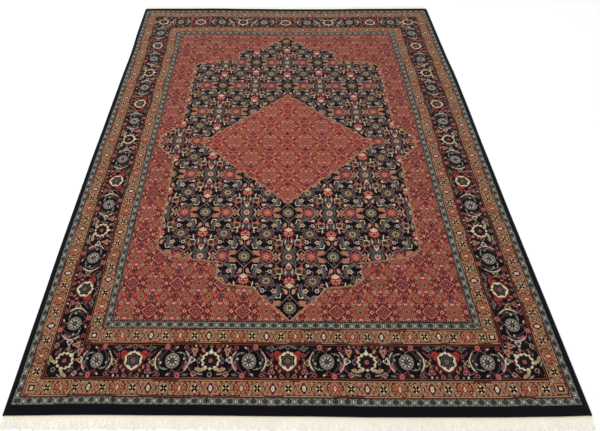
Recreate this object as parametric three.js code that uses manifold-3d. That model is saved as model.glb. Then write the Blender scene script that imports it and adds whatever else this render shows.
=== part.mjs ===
// Hand-knotted wool rug, about 2.5 x 3.4 m, lying flat on a floor.
// It is a knotted wool pile on a cotton foundation, with the two long sides overcast in dark wool
// and a narrow flat-woven cotton web at each end, out of which the warps run on as a fringe.
// Millimetres. X runs across the rug, Y along it towards the far end, Z up. The underside is at Z 0.

import * as THREE from 'three';
import { mergeVertices } from 'three/addons/utils/BufferGeometryUtils.js';
import Module from 'manifold-3d';

// Driving sizes
const RUG_WIDTH = 2500;
const PILE_LENGTH = 3400;
const PILE_HEIGHT = 11;
const PILE_EDGE_ROUND = 3;
const SELVEDGE_WIDTH = 10;
const SELVEDGE_HEIGHT = 9;
const WEB_DEPTH = 17;
const WEB_THICKNESS = 2.4;
const GAP = 0.3;

// Fringe: each lock is a bundle of warps, lying level on the floor
const LOCKS_PER_END = 148;
const LOCK_LENGTH = 41;
const LOCK_LENGTH_SPREAD = 6;
const LOCK_ROOT_WIDTH = 11.5;
const LOCK_TIP_WIDTH = 7.5;
const LOCK_HEIGHT = 2.1;
const LOCK_TIP_HEIGHT = 1.5;
const LOCK_ROOT_IN_WEB = 5;
const LOCK_SWAY = 1.8;

// Spacing of the points that follow an uneven edge
const EDGE_STEP = 118;

// How far each edge of the rug lies outside its straight line, at places along that edge
const SIDE_WANDER = {
  left: [
    { along: -1700, out: 0 },
    { along: -1250, out: 4 },
    { along: -820, out: 8 },
    { along: -230, out: 8 },
    { along: 250, out: 3 },
    { along: 650, out: 0 },
    { along: 1000, out: -6 },
    { along: 1350, out: 1 },
    { along: 1700, out: 1 },
  ],
  right: [
    { along: -1700, out: 0 },
    { along: -1250, out: 1 },
    { along: -650, out: 1 },
    { along: -100, out: 5 },
    { along: 380, out: 11 },
    { along: 680, out: 13 },
    { along: 1000, out: 5 },
    { along: 1350, out: 2 },
    { along: 1700, out: 0 },
  ],
};
const END_WANDER = {
  near: [
    { along: -1250, out: 0 },
    { along: -900, out: -3 },
    { along: -500, out: -1 },
    { along: 0, out: 3 },
    { along: 350, out: 7 },
    { along: 850, out: 7 },
    { along: 1100, out: 4 },
    { along: 1250, out: 0 },
  ],
  far: [
    { along: -1250, out: 2 },
    { along: -850, out: 1 },
    { along: -600, out: 4 },
    { along: -350, out: -4 },
    { along: 0, out: -10 },
    { along: 380, out: -11 },
    { along: 700, out: -3 },
    { along: 1250, out: 2 },
  ],
};

// Colours, as seen
const COLOURS = {
  pile: 0x5a2c2c,
  selvedge: 0x14151f,
  cotton: 0xe9e2cf,
};

// A smooth curve through a wander table, read at any place along the edge
function wanderAt(table, along) {
  if (along <= table[0].along) {
    return table[0].out;
  }
  for (let i = 1; i < table.length; i += 1) {
    const from = table[i - 1];
    const to = table[i];
    if (along <= to.along) {
      const share = THREE.MathUtils.smoothstep(along, from.along, to.along);
      return THREE.MathUtils.lerp(from.out, to.out, share);
    }
  }
  return table[table.length - 1].out;
}

// Evenly spaced values from a to b, both included, no further apart than the step
function stations(a, b, step) {
  const count = Math.ceil(Math.abs(b - a) / step);
  const places = [];
  for (let i = 0; i <= count; i += 1) {
    places.push(a + ((b - a) * i) / count);
  }
  return places;
}

// The place of a point on a long side's outer line, side -1 left or +1 right
function sideX(side, y) {
  const table = side < 0 ? SIDE_WANDER.left : SIDE_WANDER.right;
  return side * (RUG_WIDTH / 2 + wanderAt(table, y));
}

// The place of a point on the pile's end line, end -1 near or +1 far
function endY(end, x) {
  const table = end < 0 ? END_WANDER.near : END_WANDER.far;
  return end * (PILE_LENGTH / 2 + wanderAt(table, x));
}

// A small repeatable number from -1 to 1 for the unevenness of handwork
function uneven(index, kind) {
  const wave = Math.sin(index * 12.9898 + kind * 78.233) * 43758.5453;
  return 2 * (wave - Math.floor(wave)) - 1;
}

// A closed solid through rings of equal length: each ring is a loop of points, ends capped flat
function loft(rings) {
  const sides = rings[0].length;
  const positions = rings.flat().flatMap((point) => [point.x, point.y, point.z]);
  const triangles = [];
  for (let r = 0; r + 1 < rings.length; r += 1) {
    for (let s = 0; s < sides; s += 1) {
      const a = r * sides + s;
      const b = r * sides + ((s + 1) % sides);
      triangles.push(a, b, b + sides, a, b + sides, a + sides);
    }
  }
  const last = (rings.length - 1) * sides;
  for (let s = 1; s + 1 < sides; s += 1) {
    triangles.push(0, s + 1, s);
    triangles.push(last, last + s, last + s + 1);
  }
  const geometry = new THREE.BufferGeometry();
  geometry.setAttribute('position', new THREE.Float32BufferAttribute(positions, 3));
  geometry.setIndex(triangles);
  return facingOut(geometry);
}

// Turns every face over if the solid came out inside out
function facingOut(geometry) {
  const p = geometry.attributes.position;
  const index = geometry.index.array;
  const corners = [new THREE.Vector3(), new THREE.Vector3(), new THREE.Vector3()];
  let volume = 0;
  for (let i = 0; i < index.length; i += 3) {
    corners.forEach((corner, k) => corner.fromBufferAttribute(p, index[i + k]));
    volume += corners[0].dot(corners[1].clone().cross(corners[2]));
  }
  if (volume < 0) {
    for (let i = 0; i < index.length; i += 3) {
      [index[i], index[i + 1]] = [index[i + 1], index[i]];
    }
  }
  return geometry;
}

// The knotted pile: one slab with the rug's uneven outline, sheared round at its rim
function pileGeometry() {
  const inset = SELVEDGE_WIDTH + GAP + PILE_EDGE_ROUND;
  const halfX = (side, y) => sideX(side, y) - side * inset;
  const edgeY = (end, x) => endY(end, x) - end * PILE_EDGE_ROUND;
  const outline = [];
  const startX = -RUG_WIDTH / 2 + inset;
  const startY = -PILE_LENGTH / 2 + PILE_EDGE_ROUND;
  for (const x of stations(startX, -startX, EDGE_STEP).slice(0, -1)) {
    outline.push(new THREE.Vector2(x, edgeY(-1, x)));
  }
  for (const y of stations(startY, -startY, EDGE_STEP).slice(0, -1)) {
    outline.push(new THREE.Vector2(halfX(1, y), y));
  }
  for (const x of stations(-startX, startX, EDGE_STEP).slice(0, -1)) {
    outline.push(new THREE.Vector2(x, edgeY(1, x)));
  }
  for (const y of stations(-startY, startY, EDGE_STEP).slice(0, -1)) {
    outline.push(new THREE.Vector2(halfX(-1, y), y));
  }
  const slab = new THREE.ExtrudeGeometry(new THREE.Shape(outline), {
    depth: PILE_HEIGHT - 2 * PILE_EDGE_ROUND,
    bevelEnabled: true,
    bevelThickness: PILE_EDGE_ROUND,
    bevelSize: PILE_EDGE_ROUND,
    bevelSegments: 2,
    steps: 1,
  });
  slab.translate(0, 0, PILE_EDGE_ROUND);
  return slab;
}

// The overcast cord of a long side: an eight-sided cord that follows the pile's edge on the floor
function selvedgeGeometry(side) {
  const half = SELVEDGE_WIDTH / 2;
  const tall = SELVEDGE_HEIGHT / 2;
  const end = PILE_LENGTH / 2;
  const closing = 6;
  const cordSides = 8;
  const places = [-end, ...stations(-end + closing, end - closing, EDGE_STEP), end];
  const rings = places.map((y) => {
    const closed = Math.abs(y) === end ? 0.55 : 1;
    const x = sideX(side, y) - side * half;
    const ring = [];
    for (let k = 0; k < cordSides; k += 1) {
      const angle = ((k + 0.5) / cordSides) * 2 * Math.PI;
      const reach = closed / Math.cos(Math.PI / cordSides);
      const dx = half * reach * Math.cos(angle);
      const dz = tall * reach * Math.sin(angle);
      ring.push(new THREE.Vector3(x + dx, y, tall + Math.max(dz, -tall)));
    }
    return ring;
  });
  return loft(rings);
}

// A ring of four points across a flat strip or lock, level on the floor
function flatRing(x, innerY, outerY, height) {
  return [
    new THREE.Vector3(x, innerY, 0),
    new THREE.Vector3(x, outerY, 0),
    new THREE.Vector3(x, outerY, height),
    new THREE.Vector3(x, innerY, height),
  ];
}

// The flat-woven web of one end, a strip that follows the pile's end line
function webGeometry(end) {
  const reach = RUG_WIDTH / 2 - 2;
  const rings = stations(-reach, reach, EDGE_STEP).map((x) => {
    const inner = endY(end, x) + end * GAP;
    return flatRing(x, inner, inner + end * WEB_DEPTH, WEB_THICKNESS);
  });
  return loft(rings);
}

// One lock of warps, from its root inside the web to its free tip
function lockGeometry(end, index) {
  const usable = RUG_WIDTH - 2 * (LOCK_ROOT_WIDTH / 2 + 4);
  const x = -usable / 2 + (usable * index) / (LOCKS_PER_END - 1);
  const rootY = endY(end, x) + end * (GAP + WEB_DEPTH - LOCK_ROOT_IN_WEB);
  const length = LOCK_LENGTH + LOCK_LENGTH_SPREAD * uneven(index, end) + LOCK_ROOT_IN_WEB;
  const sway = LOCK_SWAY * uneven(index, 3 * end);
  const bend = LOCK_SWAY * uneven(index, 5 * end) * 0.5;
  const steps = [
    { share: 0, shift: 0, width: LOCK_ROOT_WIDTH, height: LOCK_HEIGHT },
    { share: 0.55, shift: bend, width: LOCK_ROOT_WIDTH * 0.92, height: LOCK_HEIGHT },
    { share: 1, shift: sway, width: LOCK_TIP_WIDTH, height: LOCK_TIP_HEIGHT },
  ];
  const rings = steps.map((step) => {
    const y = rootY + end * length * step.share;
    const left = x + step.shift - step.width / 2;
    const right = left + step.width;
    return [
      new THREE.Vector3(left, y, 0),
      new THREE.Vector3(right, y, 0),
      new THREE.Vector3(right, y, step.height),
      new THREE.Vector3(left, y, step.height),
    ];
  });
  return loft(rings);
}

const wasm = await Module();
wasm.setup();

// Turns a geometry into a solid that can be joined to others
function solidOf(geometry) {
  const bare = geometry.clone();
  bare.deleteAttribute('normal');
  bare.deleteAttribute('uv');
  const merged = mergeVertices(bare, 1e-3);
  return new wasm.Manifold(
    new wasm.Mesh({
      numProp: 3,
      vertProperties: new Float32Array(merged.attributes.position.array),
      triVerts: new Uint32Array(merged.index.array),
    }),
  );
}

// Turns a joined solid back into a geometry
function geometryOf(solid) {
  const mesh = solid.getMesh();
  const geometry = new THREE.BufferGeometry();
  geometry.setAttribute('position', new THREE.BufferAttribute(mesh.vertProperties, 3));
  geometry.setIndex(new THREE.BufferAttribute(mesh.triVerts, 1));
  return geometry;
}

// One end of the rug: the web with its fringe, fused at the roots
function fringedWebGeometry(end) {
  let joined = solidOf(webGeometry(end));
  for (let index = 0; index < LOCKS_PER_END; index += 1) {
    joined = joined.add(solidOf(lockGeometry(end, index)));
  }
  return geometryOf(joined);
}

function cloth(colour) {
  return new THREE.MeshStandardMaterial({ color: colour, roughness: 0.95, metalness: 0 });
}

function piece(name, geometry, colour) {
  const mesh = new THREE.Mesh(geometry, cloth(colour));
  mesh.name = name;
  return mesh;
}

const rug = new THREE.Group();
rug.add(piece('pile', pileGeometry(), COLOURS.pile));
rug.add(piece('selvedge_left', selvedgeGeometry(-1), COLOURS.selvedge));
rug.add(piece('selvedge_right', selvedgeGeometry(1), COLOURS.selvedge));
rug.add(piece('web_near', fringedWebGeometry(-1), COLOURS.cotton));
rug.add(piece('web_far', fringedWebGeometry(1), COLOURS.cotton));

// The origin is under the middle of the rug's outline
const middle = new THREE.Box3().setFromObject(rug).getCenter(new THREE.Vector3());
rug.position.set(-middle.x, -middle.y, 0);

export default rug;
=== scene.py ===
# A hand-knotted wool rug lying flat on a pale studio floor, dressed around its solid frame.
# Blender works in metres; the design is drawn in millimetres on the loom, X across and Y along the rug.

import math

import bpy
import numpy as np
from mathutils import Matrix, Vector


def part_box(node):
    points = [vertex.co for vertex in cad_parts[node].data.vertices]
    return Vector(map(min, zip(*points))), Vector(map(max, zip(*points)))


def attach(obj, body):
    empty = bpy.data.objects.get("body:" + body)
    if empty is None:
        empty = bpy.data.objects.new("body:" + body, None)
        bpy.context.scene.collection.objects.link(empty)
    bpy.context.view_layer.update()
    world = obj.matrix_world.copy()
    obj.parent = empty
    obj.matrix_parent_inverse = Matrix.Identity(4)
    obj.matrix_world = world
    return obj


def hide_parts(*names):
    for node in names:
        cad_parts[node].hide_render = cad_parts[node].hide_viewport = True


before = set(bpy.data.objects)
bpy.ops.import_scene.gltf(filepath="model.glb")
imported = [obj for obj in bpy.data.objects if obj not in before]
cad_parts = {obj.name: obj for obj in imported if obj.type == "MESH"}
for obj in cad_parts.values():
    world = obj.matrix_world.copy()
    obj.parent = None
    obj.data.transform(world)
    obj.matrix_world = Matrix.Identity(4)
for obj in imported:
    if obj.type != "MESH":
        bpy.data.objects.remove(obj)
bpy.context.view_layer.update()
scene = bpy.context.scene

# The camera. A wide lens held at about two metres, just past the near end, looks down along the rug.
# The picture was trimmed, so the lens looks a little left of its middle.
PHOTO_WIDTH = 600
FOCAL_LENGTH = 446
SIGHT_COLUMN = 276
SENSOR = 36
LENS_PLACE = (-0.093, -2.187, 2.017)
LOOKS_DOWN = 52.2

camera_data = bpy.data.cameras.new("camera")
camera_data.sensor_width = SENSOR
camera_data.lens = SENSOR * FOCAL_LENGTH / PHOTO_WIDTH
camera_data.shift_x = (PHOTO_WIDTH / 2 - SIGHT_COLUMN) / PHOTO_WIDTH
camera = bpy.data.objects.new("camera", camera_data)
camera.location = LENS_PLACE
camera.rotation_euler = (math.radians(90 - LOOKS_DOWN), 0, 0)
scene.collection.objects.link(camera)
scene.camera = camera

# The knotted pile. Wool is tied knot by knot on cotton warps from a drawn chart, a row at a time,
# beaten down, and sheared level. Its mesh follows the rug's uneven outline, and every point keeps
# its place on the loom, so the design bends with the cloth.
MM = 0.001
LOOM_HALF_WIDTH = 1250
LOOM_HALF_LENGTH = 1700
KNOT = 2.5
PILE_HEIGHT = 0.011
PILE_STEP = 0.0103
SELVEDGE_SHARE = 10.3
PLAIN_SIDE = 25
PLAIN_END = 40
END_STRETCH = 1.108
WIDENED = {"from": 600, "at": 880, "moved": 27}

# Bands from the edge inwards, each with the distance from the long side at which it ends
BANDS = [
    {"name": "plain band", "ends": PLAIN_SIDE},
    {"name": "slate guard", "ends": 54.5},
    {"name": "outer tan guard", "ends": 124},
    {"name": "main border", "ends": 272},
    {"name": "inner tan guard", "ends": 339},
    {"name": "teal guard", "ends": 370},
    {"name": "field", "ends": 2000},
]

# The sheared rim of the pile: how far in from the edge, and how high
RIM = [
    {"inward": 0.003, "height": 0.0006},
    {"inward": 0.0, "height": 0.003},
    {"inward": 0.0, "height": 0.0068},
    {"inward": 0.0012, "height": 0.0094},
    {"inward": 0.0035, "height": 0.0106},
]

# The outline is read from the solid's points at one height, near each side
OUTLINE_LEVEL = 0.003
OUTLINE_SLACK = 0.0005
OUTLINE_REACH = 0.03


def end_distance(from_side):
    """How far from an end a band's limit lies, given how far from a long side it lies."""
    return PLAIN_END + (from_side - PLAIN_SIDE) * END_STRETCH


def side_distance(from_end):
    """The same, the other way round."""
    return PLAIN_SIDE + (from_end - PLAIN_END) / END_STRETCH


def outline_of(node, axis, side):
    """Where a solid's outline runs along one side: places along it, and how far out it is there."""
    points = np.array([v.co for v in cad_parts[node].data.vertices])
    low, high = (np.array(corner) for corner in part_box(node))
    edge = high[axis] if side > 0 else low[axis]
    near = np.abs(points[:, axis] - edge) < OUTLINE_REACH
    level = np.abs(points[:, 2] - OUTLINE_LEVEL) < OUTLINE_SLACK
    chosen = points[near & level]
    order = np.argsort(chosen[:, 1 - axis])
    return chosen[order, 1 - axis], chosen[order, axis]


PILE_EDGES = {
    "left": outline_of("pile", 0, -1),
    "right": outline_of("pile", 0, 1),
    "near": outline_of("pile", 1, -1),
    "far": outline_of("pile", 1, 1),
}
PILE_HALF_WIDTH = (LOOM_HALF_WIDTH - SELVEDGE_SHARE) * MM
PILE_HALF_LENGTH = LOOM_HALF_LENGTH * MM


def on_floor(across, along):
    """Takes places on the loom, in metres, to where the uneven cloth really lies. The warps of the
    right border lie wider than those of the left one, and move the field's edge in."""
    share_x = (across / PILE_HALF_WIDTH + 1) / 2
    share_y = (along / PILE_HALF_LENGTH + 1) / 2
    limits = (WIDENED["from"], WIDENED["at"], PILE_HALF_WIDTH / MM)
    moved = np.interp(across / MM, limits, (0, WIDENED["moved"], 0)) * MM
    left, right = (np.interp(along, *PILE_EDGES[side]) for side in ("left", "right"))
    x = left + (right - left) * share_x - moved
    near, far = (np.interp(x, *PILE_EDGES[side]) for side in ("near", "far"))
    return x, near + (far - near) * share_y


SLOW_RISE = 0.0007
QUICK_RISE = 0.0004
MAP_MARGIN = 0.002


def waves(x, y):
    """The slight rise and fall of a heavy rug that lies on a hard floor."""
    slow = np.sin(2.1 * x + 1.3 * y + 0.4) * np.sin(1.7 * y - 0.9 * x + 1.1)
    quick = np.sin(7.3 * x - 2.2 * y) * np.sin(5.1 * y + 1.9 * x + 0.7)
    return SLOW_RISE * slow + QUICK_RISE * quick


def loom_lines(half, limits, step):
    """Mesh lines from one edge to the other: along each band's limit, evenly between, and down the rim."""
    flat_from = half - RIM[-1]["inward"] * 2
    stops = sorted({-flat_from, flat_from, *limits, *(-v for v in limits)})
    places = [stops[0]]
    for a, b in zip(stops, stops[1:]):
        count = max(1, round((b - a) / step))
        places += [a + (b - a) * k / count for k in range(1, count + 1)]
    heights = [PILE_HEIGHT] * len(places)
    low_side = [-half + line["inward"] for line in RIM]
    high_side = [half - line["inward"] for line in reversed(RIM)]
    rim_heights = [line["height"] for line in RIM]
    return (
        np.array(low_side + places + high_side),
        np.array(rim_heights + heights + rim_heights[::-1]),
    )


def band_of(distance):
    """The number of the band at each distance from a long side, in mm."""
    return np.searchsorted([band["ends"] for band in BANDS[:-1]], distance)


def cloth_mesh(name, columns, rows, heights):
    """A sheet over the loom's columns and rows, with the band of each face and both maps."""
    across, along = np.meshgrid(columns, rows)
    x, y = on_floor(across, along)
    z = heights + waves(x, y) * (heights == PILE_HEIGHT)
    many, wide = len(rows), len(columns)
    corner = np.arange(many * wide).reshape(many, wide)
    faces = np.stack(
        [corner[:-1, :-1], corner[:-1, 1:], corner[1:, 1:], corner[1:, :-1]], axis=-1
    ).reshape(-1, 4)
    mesh = bpy.data.meshes.new(name)
    mesh.from_pydata(np.stack([x, y, z], -1).reshape(-1, 3).tolist(), [], faces.tolist())

    middle_x = (columns[:-1] + columns[1:]) / 2
    middle_y = (rows[:-1] + rows[1:]) / 2
    from_side = band_of(LOOM_HALF_WIDTH - np.abs(middle_x) / MM)
    from_end = band_of(side_distance(LOOM_HALF_LENGTH - np.abs(middle_y) / MM))
    bands = np.minimum(from_side[None, :], from_end[:, None]).reshape(-1)
    mesh.polygons.foreach_set("material_index", bands.astype(np.int32))
    mesh.polygons.foreach_set("use_smooth", np.ones(len(faces), dtype=bool))

    loom = np.stack([across, along], -1).reshape(-1, 2)
    spread = [
        np.concatenate([[0], np.cumsum(np.hypot(np.diff(line), np.diff(level)))])
        for line, level in ((columns, heights[many // 2]), (rows, heights[:, wide // 2]))
    ]
    shares = (MAP_MARGIN + (1 - 2 * MAP_MARGIN) * run / run[-1] for run in spread)
    flat = np.stack(np.meshgrid(*shares), -1).reshape(-1, 2)
    for layer, values in (("loom", loom), ("OFBake", flat)):
        uv = mesh.uv_layers.new(name=layer)
        uv.data.foreach_set("uv", values[faces.reshape(-1)].reshape(-1))
    mesh.uv_layers["loom"].active_render = True
    mesh.validate()
    return mesh


side_limits = [(LOOM_HALF_WIDTH - band["ends"]) * MM for band in BANDS[:-1]]
end_limits = [(LOOM_HALF_LENGTH - end_distance(band["ends"])) * MM for band in BANDS[:-1]]
columns, column_heights = loom_lines(PILE_HALF_WIDTH, side_limits, PILE_STEP)
rows, row_heights = loom_lines(PILE_HALF_LENGTH, end_limits, PILE_STEP)
pile_heights = np.minimum(column_heights[None, :], row_heights[:, None])
pile = bpy.data.objects.new("pile_of_wool_knots", cloth_mesh("pile", columns, rows, pile_heights))
scene.collection.objects.link(pile)


# The wools of the basket, with their colours
WOOLS = {
    "night": "0d0608",
    "navy": "0d0910",
    "maroon": "2b1013",
    "wine": "5a1c22",
    "brick": "812a25",
    "crimson": "9f2427",
    "madder": "aa3b31",
    "coral": "c96656",
    "blush": "dcaa99",
    "salmon": "ba7969",
    "rose": "a65c5f",
    "mauve": "8a6069",
    "lilac": "a07e79",
    "rust": "914b32",
    "flame": "c65c40",
    "apricot": "be775c",
    "tan": "b08160",
    "camel": "c9a07b",
    "olive": "75583c",
    "straw": "bdaa7d",
    "cream": "ebdcb7",
    "ivory": "dad4c4",
    "smoke": "5a4c4a",
    "plum": "281b23",
    "stone": "6e6258",
    "slate": "75736c",
    "steel": "9c9688",
    "sea": "4a5057",
    "teal": "79736a",
    "moss": "38483c",
    "bottle": "242925",
    "brown": "371c14",
}


def dye(colour):
    """A wool's colour, from the way it is written in hexadecimal to the linear one that shaders use."""
    parts = [int(colour[k : k + 2], 16) / 255 for k in (0, 2, 4)]
    linear = [p / 12.92 if p <= 0.04045 else ((p + 0.055) / 1.055) ** 2.4 for p in parts]
    return (*linear, 1)


def number_of(wool):
    """The number, from 0 to 1, that a wool has in the basket."""
    return (list(WOOLS).index(wool) + 0.5) / len(WOOLS)


class Nodes:
    """Adds nodes to a shader tree. A value given to a node is another node's output or a plain one."""

    def __init__(self, tree):
        self.tree = tree

    def add(self, kind, *values, **settings):
        node = self.tree.nodes.new("ShaderNode" + kind)
        for setting, value in settings.items():
            setattr(node, setting, value)
        for socket, value in zip(node.inputs, values):
            self.give(socket, value)
        return node

    def give(self, socket, value):
        if isinstance(value, bpy.types.NodeSocket):
            self.tree.links.new(value, socket)
        elif value is not None:
            socket.default_value = value

    def math(self, operation, *values):
        return self.add("Math", *values, operation=operation).outputs[0]

    def vector(self, operation, *values):
        node = self.add("VectorMath", *values, operation=operation)
        return node.outputs["Value" if operation in ("LENGTH", "DOT_PRODUCT") else "Vector"]

    def pick(self, share, first, second):
        """The first number where share is 0, the second where it is 1."""
        node = self.add("Mix", share, data_type="FLOAT")
        self.give(node.inputs[2], first)
        self.give(node.inputs[3], second)
        return node.outputs[0]

    def noise(self, place, scale, detail=2.0, dimensions="2D"):
        """Cloudy values from 0 to 1, with so many clouds to a unit of the place."""
        node = self.add("TexNoise", noise_dimensions=dimensions)
        self.give(node.inputs["W" if dimensions == "1D" else "Vector"], place)
        self.give(node.inputs["Scale"], scale)
        self.give(node.inputs["Detail"], detail)
        return node.outputs

    def scaled(self, colour, share):
        """A colour made lighter or darker by a share."""
        node = self.add("VectorMath", colour, operation="SCALE")
        self.give(node.inputs["Scale"], share)
        return node.outputs[0]

    def bump(self, strength, distance, height):
        node = self.add("Bump")
        self.give(node.inputs["Strength"], strength)
        self.give(node.inputs["Distance"], distance)
        self.give(node.inputs["Height"], height)
        return node.outputs[0]

    def parts(self, vector):
        """X and Y. Separate XYZ would keep a third number to the end, and many overfill a shader."""
        return [self.vector("DOT_PRODUCT", vector, axis) for axis in ((1, 0, 0), (0, 1, 0))]

    def place(self, x, y):
        return self.add("CombineXYZ", x, y, 0.0).outputs[0]


class Group(Nodes):
    """A shader node group with named inputs and outputs."""

    KINDS = {"vector": "NodeSocketVector", "colour": "NodeSocketColor", "number": "NodeSocketFloat"}

    def __init__(self, name, inputs, outputs):
        super().__init__(bpy.data.node_groups.new(name, "ShaderNodeTree"))
        for way, sockets in (("INPUT", inputs), ("OUTPUT", outputs)):
            for socket, kind in sockets.items():
                self.tree.interface.new_socket(socket, in_out=way, socket_type=self.KINDS[kind])
        self.given = self.tree.nodes.new("NodeGroupInput").outputs
        self.result = self.tree.nodes.new("NodeGroupOutput").inputs

    def put_out(self, **values):
        for socket, value in values.items():
            self.give(self.result[socket], value)

    def put_in(self, nodes, **values):
        """Places this group in a material, with its own values. Returns its outputs."""
        node = nodes.tree.nodes.new("ShaderNodeGroup")
        node.node_tree = self.tree
        for socket, value in values.items():
            nodes.give(node.inputs[socket.replace("_", " ")], value)
        return node.outputs


class Chart(Group):
    """A knot chart: a group that lays figures one over another at a place on the cloth, in mm, and
    puts out the number of their wool. A figure's wools are one name, or names with the share of the
    figure's size that each fills."""

    def __init__(self, name, ground, given=()):
        super().__init__(name, {"Place": "vector", **{g: "number" for g in given}}, {"Wool": "number"})
        self.numbers = {wool: number_of(wool) for wool in WOOLS}
        self.numbers.update({g: self.given[g] for g in given})
        self.at = self.given["Place"]
        self.wool = self.numbers[ground]

    def centred(self, at, half, turn=0):
        """The place seen from a figure's middle, in shares of its half width and half height."""
        wide, tall = half if isinstance(half, tuple) else (half, half)
        place = self.at
        if turn:
            node = self.add("VectorRotate", rotation_type="Z_AXIS")
            self.give(node.inputs["Vector"], place)
            self.give(node.inputs["Center"], (*at, 0))
            self.give(node.inputs["Angle"], -math.radians(turn))
            place = node.outputs[0]
        scale = (1 / wide, 1 / tall, 0)
        return self.vector("MULTIPLY_ADD", place, scale, (-at[0] / wide, -at[1] / tall, 0))

    def lay(self, level, wools, line=0):
        """Knots a figure, whose level is 0 at its middle and 1 at its rim, or a line on its rim."""
        for wool, limit in ({wools: 1.0} if isinstance(wools, str) else wools).items():
            if line:
                inside = self.math("COMPARE", level, limit, line / 2)
            else:
                inside = self.math("LESS_THAN", level, limit)
            self.wool = self.pick(inside, self.wool, self.numbers[wool])

    def oval(self, at, half, wools, turn=0):
        self.lay(self.vector("LENGTH", self.centred(at, half, turn)), wools)

    def lozenge(self, at, half, wools, line=0):
        away = self.vector("ABSOLUTE", self.centred(at, half))
        least = min(half) if isinstance(half, tuple) else half
        self.lay(self.vector("DOT_PRODUCT", away, (1, 1, 0)), wools, line * 1.3 / least)

    def flower(self, at, half, petals, wools, depth=0.14, turn=0):
        centred = self.centred(at, half, turn)
        x, y = self.parts(centred)
        ripple = self.math("COSINE", self.math("MULTIPLY", self.math("ARCTAN2", y, x), petals))
        reach = self.math("MULTIPLY_ADD", ripple, depth, 1)
        self.lay(self.math("DIVIDE", self.vector("LENGTH", centred), reach), wools)

    def petals(self, at, radius, count, half, wools, turn=0):
        """A ring of small petals, each so long and so wide on either side of its middle."""
        long, wide = half
        centred = self.centred(at, 1, turn)
        x, y = self.parts(centred)
        turns = self.math("MULTIPLY", self.math("ARCTAN2", y, x), count / math.tau)
        swung = self.math("MULTIPLY", self.math("PINGPONG", turns, 0.5), math.tau / count * radius / wide)
        strayed = self.math("MULTIPLY_ADD", self.vector("LENGTH", centred), 1 / long, -radius / long)
        self.lay(self.vector("LENGTH", self.place(swung, strayed)), wools)

    def sickle(self, at, radius, thick, middle, spread, wools):
        """A curved leaf along an arc, thickest at its middle and drawn out to two points."""
        centred = self.centred(at, radius, middle)
        x, y = self.parts(centred)
        swung = self.math("DIVIDE", self.math("ARCTAN2", y, x), math.radians(spread))
        off = self.math("SUBTRACT", self.vector("LENGTH", centred), 1)
        strayed = self.math("DIVIDE", off, thick / 2 / radius)
        self.lay(self.vector("LENGTH", self.place(swung, strayed)), wools)

    def stem(self, start, end, thick, wools):
        """A straight stroke between two points."""
        middle = ((start[0] + end[0]) / 2, (start[1] + end[1]) / 2)
        run, rise = end[0] - start[0], end[1] - start[1]
        half = (math.hypot(run, rise) / 2 * 1.1, thick / 2)
        self.oval(middle, half, wools, math.degrees(math.atan2(rise, run)))

    def finished(self):
        self.put_out(Wool=self.wool)


def dyed(nodes, number):
    """The colour of the wool with each number."""
    ramp = nodes.add("ValToRGB", number)
    ramp.color_ramp.interpolation = "CONSTANT"
    shades = ramp.color_ramp.elements
    shades.remove(shades[1])
    for k, colour in enumerate(WOOLS.values()):
        shade = shades.new(k / len(WOOLS)) if k else shades[0]
        shade.color = dye(colour)
    return ramp.outputs[0]


# Where each knot is: the chart is read once a knot, and the weaver's hand wanders a little
HAND_WANDER = 7
loom_group = Group(
    "place on the loom", {}, {"Place": "vector", "Knot": "vector", "Chart": "vector", "Lying": "number"}
)
loom_uv = loom_group.add("UVMap", uv_map="loom").outputs[0]
loom_place = loom_group.vector("MULTIPLY", loom_uv, (1 / MM, 1 / MM, 0))
loom_knot = loom_group.vector(
    "ADD", loom_group.vector("SNAP", loom_place, (KNOT, KNOT, 1)), (KNOT / 2, KNOT / 2, 0)
)
hand = loom_group.noise(loom_knot, 0.0035, 1.0)["Color"]
strayed_hand = loom_group.vector("SUBTRACT", hand, (0.5, 0.5, 0.5))
loom_chart = loom_group.vector("MULTIPLY_ADD", strayed_hand, (HAND_WANDER, HAND_WANDER, 0), loom_knot)
loom_x = loom_group.parts(loom_chart)[0]
widening, fading = WIDENED["at"] - WIDENED["from"], LOOM_HALF_WIDTH - WIDENED["at"]
wider = loom_group.math("MULTIPLY_ADD", loom_x, 1 / widening, -WIDENED["from"] / widening)
fading_out = loom_group.math("MULTIPLY_ADD", loom_x, -1 / fading, LOOM_HALF_WIDTH / fading)
moved = loom_group.math("MAXIMUM", loom_group.math("MINIMUM", wider, fading_out), 0)
lying = loom_group.math("MULTIPLY_ADD", moved, -WIDENED["moved"], loom_x)
loom_group.put_out(Place=loom_place, Knot=loom_knot, Chart=loom_chart, Lying=lying)

# The nap: every knot is soft wool of its own tone, with painted shade in the gap round it, where the light
# sinks between the tufts; the wool's dye lots change along the rug, and the sheared surface is a little
# cloudy
nap_group = Group(
    "nap of the knots",
    {"Wool": "colour", "Place": "vector", "Knot": "vector"},
    {"Wool": "colour", "Roughness": "number", "Normal": "vector"},
)
nap_place, nap_knot = nap_group.given["Place"], nap_group.given["Knot"]
in_knot = nap_group.vector("SUBTRACT", nap_place, nap_knot)
off_middle = nap_group.vector("MULTIPLY", in_knot, (2 / KNOT, 2 / KNOT, 0))
# painted shade: the colour darkens towards each knot's rim, where the gaps between tufts lie; the same dome
# also raises the bump
tuft_dome_and_gap_shade = nap_group.math("MULTIPLY_ADD", nap_group.vector("DOT_PRODUCT", off_middle, off_middle), -0.5, 1)
own = nap_group.add("TexWhiteNoise", nap_knot, noise_dimensions="2D").outputs["Value"]
fibre = nap_group.noise(nap_place, 1.9)[0]
cloud = nap_group.noise(nap_group.vector("MULTIPLY", nap_knot, (0.35, 1, 1)), 0.012, 3.0)[0]
lot = nap_group.noise(nap_group.parts(nap_knot)[1], 0.006, 2.0, "1D")[0]
fleck = nap_group.noise(nap_knot, 0.09, 1.0)[0]
shade = 0.14
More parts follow.
